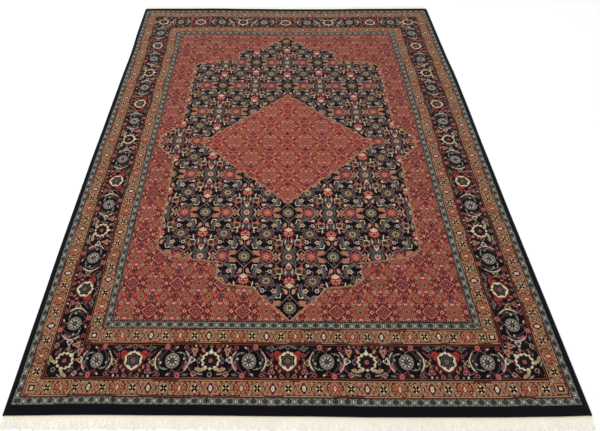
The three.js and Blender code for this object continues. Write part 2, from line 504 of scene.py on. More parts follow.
for value, weight in ((own, 0.2), (tuft_dome_and_gap_shade, 0.15), (fibre, 0.11), (fleck, 0.2), (cloud, 0.19), (lot, 0.13)):
    shade = nap_group.math("MULTIPLY_ADD", value, weight, shade)
height = nap_group.math("MULTIPLY_ADD", fibre, 0.8, nap_group.math("MULTIPLY_ADD", own, 0.5, tuft_dome_and_gap_shade))
nap_group.put_out(
    Wool=nap_group.scaled(nap_group.given["Wool"], shade),
    Roughness=nap_group.math("MULTIPLY_ADD", fibre, 0.16, 0.78),
    Normal=nap_group.bump(0.55, 0.0012, height),
)


def wool_material(name, knot_design):
    """A knotted band. A function gives its wool's number, from the nodes and the places on the loom."""
    material = bpy.data.materials.new(name)
    material.use_nodes = True
    nodes = Nodes(material.node_tree)
    loom = loom_group.put_in(nodes)
    wool = dyed(nodes, knot_design(nodes, loom))
    nap = nap_group.put_in(nodes, Wool=wool, Place=loom["Place"], Knot=loom["Knot"])
    shader = material.node_tree.nodes["Principled BSDF"]
    nodes.give(shader.inputs["Base Color"], nap["Wool"])
    nodes.give(shader.inputs["Roughness"], nap["Roughness"])
    nodes.give(shader.inputs["Normal"], nap["Normal"])
    shader.inputs["Specular IOR Level"].default_value = 0.08
    shader.inputs["Sheen Weight"].default_value = 0.035
    shader.inputs["Sheen Roughness"].default_value = 0.45
    return material


# The outer bands' figures drift along the ends, as the weaver spaced them by eye: how many mm at the
# middle of an end, how many more for each mm across and along, and the least and the most
DRIFT_FROM_LEFT = {"middle": 148, "across": 0.135}
DRIFT_FROM_RIGHT = {"middle": 24, "across": -0.035, "along": -0.0115}
DRIFT_LIMITS = (-10, 36)


def band_limits(name):
    """How far from the long side a band starts and ends, in mm."""
    ends = [0] + [band["ends"] for band in BANDS]
    k = [band["name"] for band in BANDS].index(name)
    return ends[k], ends[k + 1]


def drifted(nodes, across, along):
    """A place across the rug, moved by the drift."""
    right, left = DRIFT_FROM_RIGHT, DRIFT_FROM_LEFT
    rising = nodes.math("MULTIPLY_ADD", across, left["across"], left["middle"])
    falling = nodes.math("MULTIPLY_ADD", along, right["along"], right["middle"])
    falling = nodes.math("MULTIPLY_ADD", across, right["across"], falling)
    drift = nodes.math("MINIMUM", nodes.math("MINIMUM", rising, falling), DRIFT_LIMITS[1])
    return nodes.math("ADD", across, nodes.math("MAXIMUM", drift, DRIFT_LIMITS[0]))


def band_place(nodes, loom, centre, pitches, starts=(0, 0)):
    """Where a place lies in a band: pitches run from the middle of its side or end, with a start for
    the ends and one for the sides, and mm towards the field."""
    x, y = nodes.parts(loom["Chart"])
    from_side = nodes.math("SUBTRACT", LOOM_HALF_WIDTH, nodes.math("ABSOLUTE", x))
    from_end = nodes.math("SUBTRACT", LOOM_HALF_LENGTH, nodes.math("ABSOLUTE", y))
    from_end = nodes.math(
        "MULTIPLY_ADD", from_end, 1 / END_STRETCH, PLAIN_SIDE - PLAIN_END / END_STRETCH
    )
    at_end = nodes.math("LESS_THAN", from_end, from_side)
    inward = nodes.math("SUBTRACT", nodes.math("MINIMUM", from_end, from_side), centre)
    outer = centre < band_limits("main border")[1]
    along_end = drifted(nodes, loom["Lying"], y) if outer else loom["Lying"]
    across_run, along_run = (
        nodes.math("MULTIPLY_ADD", nodes.math("ABSOLUTE", place), 1 / pitch, start)
        for place, pitch, start in ((along_end, pitches[0], starts[0]), (y, pitches[1], starts[1]))
    )
    return nodes.pick(at_end, along_run, across_run), inward


# The design of the field and the medallion is one old repeat: flowers in lozenges, palmettes and
# curved leaves round a rosette. A quarter is drawn and mirrored, and that is turned half round about
# the rosette. The medallion has it large on a dark ground, and the red wool around has it small.
def fold(chart, across, along):
    """Has a quarter's chart cover the whole cloth. The quarter's far half is its near half turned."""
    run_x, run_y = chart.parts(chart.given["Place"])
    fold_x = chart.math("PINGPONG", run_x, across)
    fold_y = chart.math("PINGPONG", run_y, along)
    turned = chart.math("GREATER_THAN", fold_y, along / 2)
    turn_x = chart.math("MULTIPLY_ADD", fold_x, -2, across)
    turn_y = chart.math("MULTIPLY_ADD", fold_y, -2, along)
    chart.at = chart.place(
        chart.math("MULTIPLY_ADD", turn_x, turned, fold_x),
        chart.math("MULTIPLY_ADD", turn_y, turned, fold_y),
    )


large = Chart("flowers of the medallion", "night")
LARGE_ACROSS = 236
LARGE_ALONG = 297
STARRED = (0, 0)
ROUND = (LARGE_ACROSS / 2, 0)
GREEN = (LARGE_ACROSS, 0)
ROSETTE = (LARGE_ACROSS / 2, LARGE_ALONG / 2)
SQUARE = (185, 90)
LEAF = (108, 103)
SIDE_LEAF = (219, 99)
fold(large, LARGE_ACROSS, LARGE_ALONG)

# the darkest red, which the dark ground has round its flowers
for at, half in (
    ((30, 122), (28, 13)),
    ((158, 60), (24, 16)),
    ((206, 118), (20, 22)),
    ((78, 34), (14, 20)),
    ((94, 126), (15, 22)),
    ((196, 22), (16, 20)),
    ((34, 84), (12, 16)),
    ((150, 140), (16, 14)),
):
    large.oval(at, half, "maroon")

# stems and the lozenge's lines, so that the flowers lie over them
large.lozenge(STARRED, (59, 72), "lilac", line=2.6)
large.lozenge((0, 54), (13, 17), {"lilac": 1, "plum": 0.8})
large.lozenge((169, 20), (27, 26), "lilac", line=2.4)
for start, end, thick, wool in (
    ((0, 71), (0, 122), 2.8, "lilac"),
    ((204, 104), (223, 124), 2.6, "lilac"),
    ((204, 104), (187, 114), 2.6, "lilac"),
    ((204, 104), (202, 58), 2.8, "lilac"),
    ((LARGE_ACROSS, 80), (LARGE_ACROSS, 128), 2.6, "lilac"),
    ((118, 122), (116, 92), 2.4, "lilac"),
    ((116, 92), (137, 92), 2.2, "blush"),
    ((190, 36), (162, 53), 3.2, "rose"),
    ((76, 2), (58, 38), 2.6, "tan"),
    ((97, 22), (76, 44), 2.2, "rose"),
    ((60, 104), (40, 130), 2.2, "salmon"),
    ((22, 112), (52, 128), 2.2, "lilac"),
    ((41, 82), (47, 56), 4.2, "cream"),
    ((45, 54), (67, 52), 4.4, "cream"),
    ((192, 116), (186, 143), 6.4, "cream"),
    ((210, 60), (196, 50), 3, "salmon"),
    ((133, 34), (150, 50), 2.4, "salmon"),
    ((92, 32), (116, 46), 2.4, "blush"),
    ((116, 46), (136, 36), 2.2, "lilac"),
    ((150, 72), (162, 92), 2.4, "blush"),
    ((162, 92), (150, 108), 2.2, "salmon"),
    ((12, 120), (30, 140), 2.2, "blush"),
    ((72, 118), (84, 140), 2.4, "lilac"),
    ((150, 20), (158, 40), 2.2, "blush"),
    ((176, 126), (206, 142), 2.2, "salmon"),
    ((222, 70), (212, 84), 2.2, "blush"),
    ((56, 76), (70, 96), 2.2, "salmon"),
):
    large.stem(start, end, thick, wool)

for at, radius, middle, spread, wool in (
    (ROUND, 40, 62, 24, "blush"),
    (ROUND, 40, 120, 20, "lilac"),
    (ROSETTE, 45, 216, 20, "lilac"),
    (ROSETTE, 45, 326, 24, "salmon"),
    (ROSETTE, 52, 300, 15, "blush"),
    (GREEN, 47, 148, 22, "salmon"),
    ((0, ROSETTE[1]), 40, -62, 22, "salmon"),
    ((0, ROSETTE[1]), 46, -34, 16, "lilac"),
):
    large.sickle(at, radius, 3.2, middle, spread, wool)

# a curved leaf with its tip, and the buds in its hollow
for radius, thick, middle, spread, wools in (
    (53, 25, 210, 66, {"smoke": 1, "sea": 0.84}),
    (52, 15, 236, 32, {"teal": 1, "moss": 0.5}),
    (46, 3.4, 192, 34, "steel"),
    (57, 3, 226, 44, "slate"),
    (52, 2.6, 196, 26, "plum"),
):
    large.sickle(LEAF, radius, thick, middle, spread, wools)
large.oval((122, 59), (13, 9), {"mauve": 1, "rose": 0.5}, turn=14)
large.oval((66, 55), 4, "cream")
large.flower((80, 91), 11.5, 5, {"cream": 1, "apricot": 0.72, "madder": 0.4}, depth=0.22)
large.oval((101, 97), (8, 9), "bottle")
large.flower((137, 93), 11, 6, {"ivory": 1, "lilac": 0.7, "plum": 0.44})
large.flower((141, 57), 8, 5, {"cream": 1, "salmon": 0.4}, depth=0.3)
large.oval((166, 130), (9, 4.6), "steel")
large.oval((164, 115), (10, 4), "tan", turn=-12)
large.oval((172, 58), (5, 4), "salmon")

# the starred flower in its lozenge, with two tulips and two leaves
large.flower(STARRED, (31, 32), 12, {"stone": 1, "smoke": 0.84}, depth=0.06)
large.petals(STARRED, 25, 12, (2.6, 2.4), "steel")
large.oval(STARRED, 20.5, "night")
large.petals(STARRED, 13, 8, (6.4, 4.4), "straw")
large.oval(STARRED, 5.6, {"olive": 1, "maroon": 0.5})
large.flower((66, 23), (15, 19), 4, {"tan": 1, "apricot": 0.86, "salmon": 0.5}, depth=0.16, turn=45)
large.lozenge((58, 0), (15, 14), {"maroon": 1, "night": 0.7})
large.oval((82, 12), (4, 9), "salmon")
large.oval((19, 88), (9, 15), {"camel": 1, "salmon": 0.84, "blush": 0.4}, turn=-14)
large.oval((31, 101), (4, 8), "apricot", turn=-46)
large.oval((47, 28), (4, 9), "tan", turn=35)

# the round flower between
large.flower(ROUND, 31, 8, {"mauve": 1, "maroon": 0.9, "madder": 0.86}, depth=0.13)
large.petals(ROUND, 24, 8, (3.6, 3.6), "rose")
large.petals(ROUND, 16, 8, (5.4, 3.8), "coral")
large.petals(ROUND, 8, 6, (5, 3), "straw")
large.oval(ROUND, 3.4, "brick")

# the green flower with its side flowers, wings, drop and seeds
large.oval((208, 45), (15, 9), {"smoke": 1, "sea": 0.8}, turn=-28)
large.oval((LARGE_ACROSS, 38), (24, 10), {"teal": 1, "moss": 0.8})
large.flower(GREEN, (34, 37), 10, {"teal": 1, "moss": 0.9}, depth=0.06)
large.petals(GREEN, 26, 12, (2.8, 2.6), "stone")
large.oval(GREEN, 21, "bottle")
large.petals(GREEN, 12.5, 8, (7, 4.2), "blush")
large.oval(GREEN, 6, "crimson")
large.oval((LARGE_ACROSS, 62), (17, 18), {"brown": 1, "camel": 0.9})
large.lozenge((LARGE_ACROSS, 50), (10, 12), "cream")
large.oval((LARGE_ACROSS, 66), (12, 13), {"blush": 1, "coral": 0.82, "madder": 0.5})
large.oval(SIDE_LEAF, (10.5, 17.5), {"lilac": 1, "night": 0.8})
large.oval(SIDE_LEAF, (3.6, 10), "ivory")
large.flower((171, 0), (15, 21), 6, {"camel": 1, "maroon": 0.6, "coral": 0.36}, depth=0.36, turn=30)
large.oval((188, 16), (4, 7), "blush", turn=25)

# the square flower
large.flower(SQUARE, 19, 4, {"camel": 1, "brown": 0.8, "olive": 0.56, "bottle": 0.42}, turn=45)
large.sickle((185, 92), 18, 4.6, 80, 60, "cream")
large.oval((173, 73), (13, 8), {"salmon": 1, "coral": 0.6}, turn=-22)
large.oval((197, 75), (5, 6), "salmon")

# the two palmettes half way along, each pointing at its own starred flower
for x, way in ((0, -1), (LARGE_ACROSS, 1)):
    y = ROSETTE[1]
    large.lozenge((x, y + way * 25), (22, 17), {"cream": 1, "blush": 0.6})
    large.flower((x, y), (24, 32), 7, {"maroon": 1, "wine": 0.94, "madder": 0.88}, 0.12, 90 * way)
    large.oval((x, y + way * 20), (9, 6), "cream")
    for dot_x, dot_y in ((0, -16), (16, -8), (-16, -8), (20, 6), (-20, 6), (8, 5), (-8, 5)):
        large.oval((x + dot_x, y + way * dot_y), (4.6, 4), "blush")
    large.oval((x, y), (4, 3.4), "maroon")

# the rosette
large.flower(ROSETTE, 35, 8, {"mauve": 1, "smoke": 0.92, "plum": 0.7}, depth=0.15)
large.petals(ROSETTE, 25, 8, (4, 3.4), "stone", turn=22)
large.petals(ROSETTE, 14.5, 8, (6.6, 4.4), "straw")
large.oval(ROSETTE, 6.4, {"olive": 1, "maroon": 0.5})
large.finished()

# the small repeat of the red wool, with the same flowers drawn more plainly
small = Chart("small flowers of the red field", "Ground", ("Ground",))
SMALL_ACROSS = 114
SMALL_ALONG = 151
SMALL_ROSETTE = (SMALL_ACROSS / 2, SMALL_ALONG / 2)
SMALL_GREEN = (SMALL_ACROSS, 0)
SMALL_BROWN = (82, 42)
fold(small, SMALL_ACROSS, SMALL_ALONG)
for at, half, wool in (
    ((86, 56), (15, 20), "crimson"),
    ((27, 66), (17, 11), "crimson"),
    ((94, 20), (13, 8), "crimson"),
    ((44, 16), (10, 12), "wine"),
    ((66, 40), (14, 9), "wine"),
    ((20, 44), (12, 8), "wine"),
    ((58, 54), (12, 5), "crimson"),
):
    small.oval(at, half, wool)
for at, radius, middle, spread, wool in (
    (SMALL_ROSETTE, 25, 225, 80, "salmon"),
    (SMALL_ROSETTE, 31, 200, 60, "tan"),
    (SMALL_ROSETTE, 36, 250, 40, "salmon"),
    (SMALL_GREEN, 27, 130, 60, "salmon"),
    (SMALL_GREEN, 34, 150, 34, "tan"),
    ((0, 0), 48, 40, 36, "tan"),
    (SMALL_BROWN, 19, 0, 120, "salmon"),
    ((0, SMALL_ROSETTE[1]), 25, -40, 70, "salmon"),
    ((SMALL_ACROSS, SMALL_ROSETTE[1]), 25, 230, 60, "rose"),
):
    small.sickle(at, radius, 3.2, middle, spread, wool)
small.lozenge((0, 0), (38, 37), "blush", line=2.4)
small.oval((0, 0), 19, {"rose": 1, "wine": 0.86})
small.petals((0, 0), 13, 6, (3, 2.6), "salmon")
small.oval((0, 0), 6, {"salmon": 1, "wine": 0.5})
small.lozenge((0, 28), (7, 6), {"rose": 1, "maroon": 0.5})
small.lozenge((SMALL_ACROSS / 2, 0), 11, {"blush": 1, "maroon": 0.5})
small.flower(SMALL_GREEN, 19, 8, {"salmon": 1, "olive": 0.84}, depth=0.06)
small.petals(SMALL_GREEN, 10, 6, (3.2, 2.8), "tan")
small.oval(SMALL_GREEN, 4, "maroon")
small.oval((SMALL_ACROSS, 41), (12.5, 10.5), {"wine": 1, "coral": 0.9, "blush": 0.6})
small.oval((SMALL_ACROSS, 47), (4.6, 5), "crimson")
small.flower(SMALL_BROWN, 14, 7, "brown", depth=0.1)
small.petals(SMALL_BROWN, 9.6, 7, (3.6, 3.4), "camel")
small.oval(SMALL_BROWN, 3, "cream")
for x in (0, SMALL_ACROSS):
    middle = (x, SMALL_ROSETTE[1])
    small.flower(middle, 16, 8, {"rose": 1, "night": 0.86}, depth=0.1)
    small.petals(middle, 8.6, 6, (3.4, 2.2), "lilac", turn=15)
    small.oval(middle, 2.6, "wine")
small.oval(SMALL_ROSETTE, (17, 19), {"salmon": 1, "olive": 0.86, "tan": 0.6, "rust": 0.4})
small.oval(SMALL_ROSETTE, 3, "maroon")
for at, half, wool, turn in (
    ((36, 37), (8, 3.8), "camel", -40),
    ((31, 27), 3.8, "blush", 0),
    ((32, 63), 4.4, "flame", 0),
    ((60, 33), 3.8, "salmon", 0),
    ((16, 52), (3, 6), "salmon", -20),
    ((98, 60), (3, 5), "blush", 20),
    ((74, 14), (5, 3), "camel", 30),
):
    small.oval(at, half, wool, turn)
small.finished()

# Half of the medallion's outline: how far along it reaches at each distance across, in mm. It hangs
# a little off the middle, as the warps drew the cloth askew on the loom.
MEDALLION = [
    {"across": 0, "along": 1253},
    {"across": 61, "along": 1194},
    {"across": 146, "along": 1120},
    {"across": 182, "along": 1075},
    {"across": 326, "along": 1060},
    {"across": 370, "along": 1025},
    {"across": 374, "along": 926},
    {"across": 472, "along": 913},
    {"across": 642, "along": 888},
    {"across": 702, "along": 840},
    {"across": 708, "along": 142},
    {"across": 755, "along": 119},
    {"across": 798, "along": 78},
    {"across": 826, "along": 20},
    {"across": 831, "along": 0},
    {"across": 880, "along": 0},
]
MEDALLION_LINE = 6
INNER_LOZENGE = {"half_across": 570, "half_along": 510, "rise": -18}
LOZENGE_STEP = {"wide": 29, "deep": 0.55}
LOZENGE_LINE = 0.011
FIELD_SHIFT = (15, 14)
FIELD_SLANT = -0.0053
FIELD_STARTS = BANDS[-2]["ends"]
FIELD_EDGE = {"step": 11, "gap": 0.3, "dots": 7.5, "line": 3}


def inside_medallion(nodes, across, along, grown):
    """1 inside the medallion's outline, drawn out by some mm, and 0 outside it."""
    reach = MEDALLION[-1]["across"]
    height = MEDALLION[0]["along"]
    curve = nodes.add("FloatCurve")
    points = curve.mapping.curves[0].points
    for point in MEDALLION[1:-1]:
        points.new(point["across"] / reach, point["along"] / height)
    points[0].location = (0, 1)
    points[-1].location = (1, 0)
    for point in points:
        point.handle_type = "VECTOR"
    curve.mapping.update()
    inward = nodes.math("MAXIMUM", nodes.math("SUBTRACT", across, grown), 0)
    nodes.give(curve.inputs["Value"], nodes.math("DIVIDE", inward, reach))
    limit = nodes.math("MULTIPLY_ADD", curve.outputs[0], height, grown)
    return nodes.math("LESS_THAN", along, limit)


def knot_field(nodes, loom):
    """The red field, the dark medallion on it, and the brighter red lozenge inside that."""
    loom_y = nodes.parts(loom["Chart"])[1]
    slanted = nodes.math("MULTIPLY_ADD", loom_y, FIELD_SLANT, loom["Lying"])
    x = nodes.math("ADD", slanted, FIELD_SHIFT[0])
    y = nodes.math("ADD", loom_y, FIELD_SHIFT[1])
    across, along = nodes.math("ABSOLUTE", x), nodes.math("ABSOLUTE", y)
    inside = inside_medallion(nodes, across, along, 0)
    with_line = inside_medallion(nodes, across, along, MEDALLION_LINE)
    step = nodes.math("PINGPONG", across, LOZENGE_STEP["wide"])
    stepped = nodes.math("MULTIPLY_ADD", step, LOZENGE_STEP["deep"], across)
    from_middle = nodes.math("ABSOLUTE", nodes.math("SUBTRACT", y, INNER_LOZENGE["rise"]))
    lozenge = nodes.math(
        "ADD",
        nodes.math("DIVIDE", stepped, INNER_LOZENGE["half_across"]),
        nodes.math("DIVIDE", from_middle, INNER_LOZENGE["half_along"]),
    )
    outside_lozenge = nodes.math("GREATER_THAN", lozenge, 1.0)
    on_lozenge = nodes.math("COMPARE", lozenge, 1.0, LOZENGE_LINE)
    dark = nodes.math("MULTIPLY", inside, outside_lozenge)
    at = nodes.place(x, y)
    ground = nodes.pick(outside_lozenge, number_of("madder"), number_of("brick"))
    on_red = small.put_in(nodes, Place=at, Ground=ground)["Wool"]
    on_dark = large.put_in(nodes, Place=at)["Wool"]
    number = nodes.pick(dark, on_red, on_dark)
    outline = nodes.math("MAXIMUM", nodes.math("SUBTRACT", with_line, inside), on_lozenge)
    number = nodes.pick(outline, number, number_of("tan"))
    run, inward = band_place(nodes, loom, FIELD_STARTS, [FIELD_EDGE["step"]] * 2)
    dots = nodes.math("GREATER_THAN", nodes.math("PINGPONG", run, 0.5), FIELD_EDGE["gap"])
    edge = nodes.pick(dots, number_of("maroon"), number_of("salmon"))
    number = nodes.pick(nodes.math("LESS_THAN", inward, FIELD_EDGE["dots"]), number, edge)
    return nodes.pick(nodes.math("LESS_THAN", inward, FIELD_EDGE["line"]), number, number_of("bottle"))


# The main border on its dark ground: red and cream palmettes in turn, and half way between them a
# round rosette held by two sickle leaves, with buds, vines and small flowers. Drawn from the middle
# of a red palmette to the middle of a cream one, and mirrored.
BORDER_STEP = 352
BORDER_CENTRE = sum(band_limits("main border")) / 2
BORDER_PITCHES = (351, 368)
BORDER_CORNER = (1051, 1469)
CORNER_REACH = BORDER_STEP * 0.3
ROSETTE_X = 178
EDGE_LINE_REACH = 4000

border = Chart("flowers of the main border", "night")
for at, half in (
    ((40, -50), (26, 10)),
    ((92, 40), (14, 12)),
    ((112, -34), (12, 16)),
    ((ROSETTE_X, 54), (24, 8)),
    ((ROSETTE_X, -54), (24, 8)),
    ((248, 36), (16, 14)),
    ((262, -30), (14, 12)),
    ((312, 40), (16, 14)),
    ((300, -46), (20, 10)),
    ((70, -10), (8, 20)),
):
    border.oval(at, half, "maroon")
for rise, line in ((72.5, "brown"), (-72.5, "brown"), (69, "rust"), (-69, "rust")):
    border.oval((BORDER_STEP / 2, rise), (EDGE_LINE_REACH, 1.3), line)

# vines
for way in (1, -1):
    border.sickle((ROSETTE_X - way * 34, way * 6), 44, 3, 90 * way - way * 10, 62, "rose")
    border.sickle((ROSETTE_X + way * 6, 0), 56, 3.4, 90 * way + 52, 40, "smoke")
    border.stem((ROSETTE_X, way * 34), (ROSETTE_X + way * 6, way * 62), 2.4, "rose")
for start, end, thick, wool in (
    ((64, -12), (36, -50), 2.6, "rose"),
    ((36, -50), (16, -64), 2.6, "salmon"),
    ((60, 46), (44, 62), 2.4, "lilac"),
    ((100, 42), (80, 22), 2.6, "rose"),
    ((72, 40), (66, 6), 2.4, "mauve"),
    ((96, -14), (112, -42), 2.4, "rose"),
    ((112, -42), (84, -54), 2.4, "lilac"),
    ((258, -38), (300, -64), 2.6, "lilac"),
    ((258, -38), (248, -18), 2.4, "rose"),
    ((250, 26), (290, 62), 2.4, "rose"),
    ((300, 62), (324, 44), 2.4, "salmon"),
    ((296, -20), (322, -52), 2.4, "mauve"),
    ((286, 4), (304, -12), 2.4, "lilac"),
    ((240, 40), (262, 52), 2.4, "rose"),
    ((110, 28), (96, 10), 2.4, "salmon"),
):
    border.stem(start, end, thick, wool)

# red palmette
border.oval((48, 30), (17, 15), {"wine": 1, "madder": 0.86})
border.oval((0, 16), (62, 25), {"wine": 1, "madder": 0.92})
border.lozenge((0, -18), (60, 34), {"wine": 1, "maroon": 0.8})
border.oval((0, 0), (47, 41), "wine")
border.flower((0, 1), (43, 37), 8, {"camel": 1, "cream": 0.92}, depth=0.04, turn=22.5)
border.lozenge((0, -26), (26, 15), "cream")
border.flower((0, 1), (33, 29), 6, "night", depth=0.12, turn=30)
border.petals((0, 1), 17.5, 6, (9, 7.4), {"teal": 1, "bottle": 0.76}, turn=30)
border.oval((0, 1), 8.5, {"salmon": 1, "wine": 0.72, "rose": 0.4})
border.oval((0, 38), (5, 6), "cream")
border.oval((37, -40), (6, 11), {"wine": 1, "salmon": 0.7}, turn=38)
border.oval((52, -26), (4, 8), "salmon", turn=20)
border.flower((0, 60), 10, 6, {"lilac": 1, "plum": 0.74})
border.oval((28, 59), (14, 5.5), {"lilac": 1, "smoke": 0.64}, turn=-20)
border.oval((46, 54), (5, 4), "plum")
border.flower((0, -57), 9, 6, {"smoke": 1, "sea": 0.5})
border.lozenge((29, -61), (11, 9), {"salmon": 1, "night": 0.6})

# between the red palmette and the first leaf
border.lozenge((74, 53), (14, 13), {"steel": 1, "night": 0.74, "stone": 0.34})
border.oval((92, 57), (7, 3.5), "slate", turn=-30)
border.flower((75, -38), (17, 13), 3, {"rose": 1, "maroon": 0.62, "salmon": 0.34}, depth=0.3, turn=90)
border.oval((78, -62), (4, 5), "ivory")
border.oval((57, -63), 4, "steel")
border.flower((88, -6), (11, 12), 3, {"straw": 1, "brown": 0.62}, depth=0.35, turn=180)
border.oval((74, 24), (9, 7), {"rose": 1, "wine": 0.7})
border.oval((74, 6), 4, "salmon")
border.oval((70, -16), (3.5, 4), "lilac")
border.lozenge((117, -53), (10, 8), {"rose": 1, "night": 0.5})
border.oval((104, -60), (6, 3), "stone", turn=20)
border.oval((108, 60), (10, 4), "plum")
border.oval((126, 50), (6, 3.4), "moss", turn=-30)

# the sickle leaves on either side of the rosette, each the other one turned round
for way, lower, upper in ((-1, "moss", "wine"), (1, "smoke", "rose")):
    x = ROSETTE_X + way * 27
    turn = 0 if way > 0 else 180
    border.sickle((x - way, 0), 40, 19, turn, 54, {lower: 1, "plum": 0.7})
    border.sickle((x - way, 0), 43, 11, turn - 30, 24, upper)
    border.sickle((x, 0), 50, 5, turn + 14, 42, "cream")
    border.sickle((x, 0), 49, 4, turn - 38, 18, "ivory")
    border.sickle((x + way * 2, -way * 4), 38, 4, turn + 78, 30, "steel")
    border.sickle((x, 0), 33, 2.6, turn + 10, 40, "slate")
    border.oval((x + way * 24, way * 8), (4, 5), {"ivory": 1, "teal": 0.5}, turn=45)
    border.oval((x + way * 8, way * 30), 3, "steel")
    border.oval((x + way * 36, -way * 6), (3, 5), "salmon")

# the round rosette
border.flower((ROSETTE_X, 0), 31.5, 16, {"steel": 1, "stone": 0.92}, depth=0.03)
border.petals((ROSETTE_X, 0), 24, 12, (3.4, 3), "steel")
border.petals((ROSETTE_X, 0), 14.5, 8, (7, 4), "bottle")
border.petals((ROSETTE_X, 0), 16.5, 8, (4.6, 3.4), "ivory", turn=22.5)
border.oval((ROSETTE_X, 0), 7.5, {"bottle": 1, "wine": 0.7, "salmon": 0.3})

# flowers on the edges and small figures
for way in (1, -1):
    border.flower((ROSETTE_X - way * 29, way * 60), 12, 8, {"rose": 1, "coral": 0.7, "wine": 0.3})
    border.oval((ROSETTE_X + way * 15, way * 55), (10, 4.8), {"stone": 1, "ivory": 0.5}, turn=35)
    border.oval((ROSETTE_X + way * 58, way * 56), (10, 8), {"rose": 1, "wine": 0.66})
border.oval((241, -57), (15, 6), {"sea": 1, "steel": 0.36}, turn=8)
border.lozenge((279, -53), (14, 12), {"blush": 1, "night": 0.74, "rose": 0.4})
border.flower((268, 3), (11, 12), 3, {"ivory": 1, "brown": 0.62}, depth=0.35)
border.flower((277, 39), (17, 13), 3, {"salmon": 1, "tan": 0.66, "wine": 0.3}, depth=0.3, turn=-90)
for x, y, wool in ((280, 63, "ivory"), (300, 63, "lilac"), (262, 58, "stone"), (262, -34, "moss")):
    border.oval((x, y), 4, wool)
border.oval((296, -30), 5, {"lilac": 1, "night": 0.5})
border.oval((306, 20), (4, 8), "rose", turn=20)
border.oval((252, 14), (4, 7), "mauve", turn=-20)
border.lozenge((323, 61), (10, 9), {"rose": 1, "night": 0.6})
border.finished()

palmette = Chart("cream palmette of the border", "Under", ("Under",))
for mirror in (-1, 1):
    palmette.oval((mirror * 52, -37), (18, 7), {"straw": 1, "tan": 0.7}, turn=mirror * 14)
    palmette.oval((mirror * 54, 0), (7, 13), {"lilac": 1, "night": 0.68})
    palmette.oval((mirror * 36, 43), (6, 11), {"salmon": 1, "tan": 0.6}, turn=-mirror * 40)
    palmette.oval((mirror * 44, -54), (15, 3.2), "steel", turn=mirror * 12)
    palmette.oval((mirror * 28, -34), (12, 7), "straw")
palmette.flower((0, 1), (43, 38), 12, {"tan": 1, "cream": 0.94}, depth=0.07)
palmette.lozenge((0, 36), (12, 12), "cream")
palmette.flower((0, 0), (33, 30), 10, "night", depth=0.09)
palmette.petals((0, 0), 19, 8, (8, 6), {"plum": 1, "maroon": 0.6})
palmette.petals((0, 0), 27, 8, (3, 4), "moss", turn=22)
palmette.oval((0, 0), 9, {"salmon": 1, "crimson": 0.7, "coral": 0.36})
palmette.oval((0, 46), (4, 5), "ivory")
palmette.flower((0, -56), 10, 6, {"steel": 1, "plum": 0.7})
palmette.lozenge((0, 60), (9, 7), {"steel": 1, "night": 0.5})
palmette.finished()


def knot_main_border(nodes, loom):
    """The border's flowers along each side, with a cream palmette set slantwise in every corner."""
    run, inward = band_place(nodes, loom, BORDER_CENTRE, BORDER_PITCHES, (0, 1))
    along = nodes.math("MULTIPLY", nodes.math("PINGPONG", run, 1), BORDER_STEP)
    number = border.put_in(nodes, Place=nodes.place(along, inward))["Wool"]
    x, y = nodes.parts(loom["Chart"])
    corner_x = nodes.math("SUBTRACT", BORDER_CORNER[0], nodes.math("ABSOLUTE", x))
    corner_y = nodes.math("SUBTRACT", BORDER_CORNER[1], nodes.math("ABSOLUTE", y))
    slant = math.sqrt(0.5)
    slant_x = nodes.math("MULTIPLY", nodes.math("SUBTRACT", corner_x, corner_y), slant)
    slant_y = nodes.math("MULTIPLY", nodes.math("ADD", corner_x, corner_y), slant)
    near_corner = nodes.math("LESS_THAN", nodes.math("MAXIMUM", corner_x, corner_y), CORNER_REACH)
    from_palmette = nodes.math("SUBTRACT", along, BORDER_STEP)
    place = nodes.place(
        nodes.pick(near_corner, from_palmette, slant_x),
        nodes.pick(near_corner, inward, slant_y),
    )
    return palmette.put_in(nodes, Under=number, Place=place)["Wool"]


# The two tan guards: a white seed in a dark lozenge, a crossed rosette in scrolls, a pale seed on
# rust, and the crossed rosette again. A dark square stops each corner.
GUARD_STEP = 68
GUARD_RIPPLE = 5
CROSS, PALE_SEED = GUARD_STEP, 2 * GUARD_STEP
guard = Chart("seeds and crosses of the tan guard", "tan")
guard.oval((PALE_SEED, 3), (36, 30), {"brown": 1, "rust": 0.93, "apricot": 0.76, "tan": 0.6})
guard.oval((PALE_SEED, -25), (32, 5), "apricot")
for side in (-1, 1):
    guard.oval((PALE_SEED - 16, side * 3), (8, 15), {"rust": 1, "coral": 0.6}, turn=side * 20)
guard.oval((0, 0), (33, 29), {"brown": 1, "camel": 0.9, "rust": 0.8, "tan": 0.72})
guard.oval((CROSS, 0), (34, 31), {"brown": 1, "camel": 0.91, "rust": 0.82, "tan": 0.75})
guard.oval((CROSS, 0), 23, {"brown": 1, "camel": 0.9, "tan": 0.8, "olive": 0.72, "rust": 0.6})
for turn in (45, -45):
    guard.oval((CROSS, 0), (18, 5.6), "night", turn=turn)
guard.petals((CROSS, 0), 11.5, 4, (3.4, 3.4), "cream")
guard.oval((CROSS, 0), 3, "camel")
for side in (-1, 1):
    guard.oval((CROSS + side * 3, side * 26), 5, "night")
    guard.oval((CROSS - side * 28, side * 9), (3, 4), "brown")
    guard.oval((CROSS + side * 30, -side * 12), (3, 6), "salmon", turn=30)
    for way in (1, -1):
        guard.sickle((CROSS + way * side * 34, side * 16), 12, 5, 90 * side, 110, "brown")
    guard.sickle((CROSS - side * 34, side * 16), 8, 3.4, 90 * side, 90, "straw")
    guard.oval((PALE_SEED - 24, side * 12), (8, 7), {"brown": 1, "rust": 0.8, "camel": 0.4})
    guard.oval((PALE_SEED, side * 24), (9, 4), {"brown": 1, "salmon": 0.7})
    guard.oval((26, side * 11), 4, {"brown": 1, "salmon": 0.7})
    guard.oval((21, side * 23), (12, 3), "salmon", turn=-side * 24)
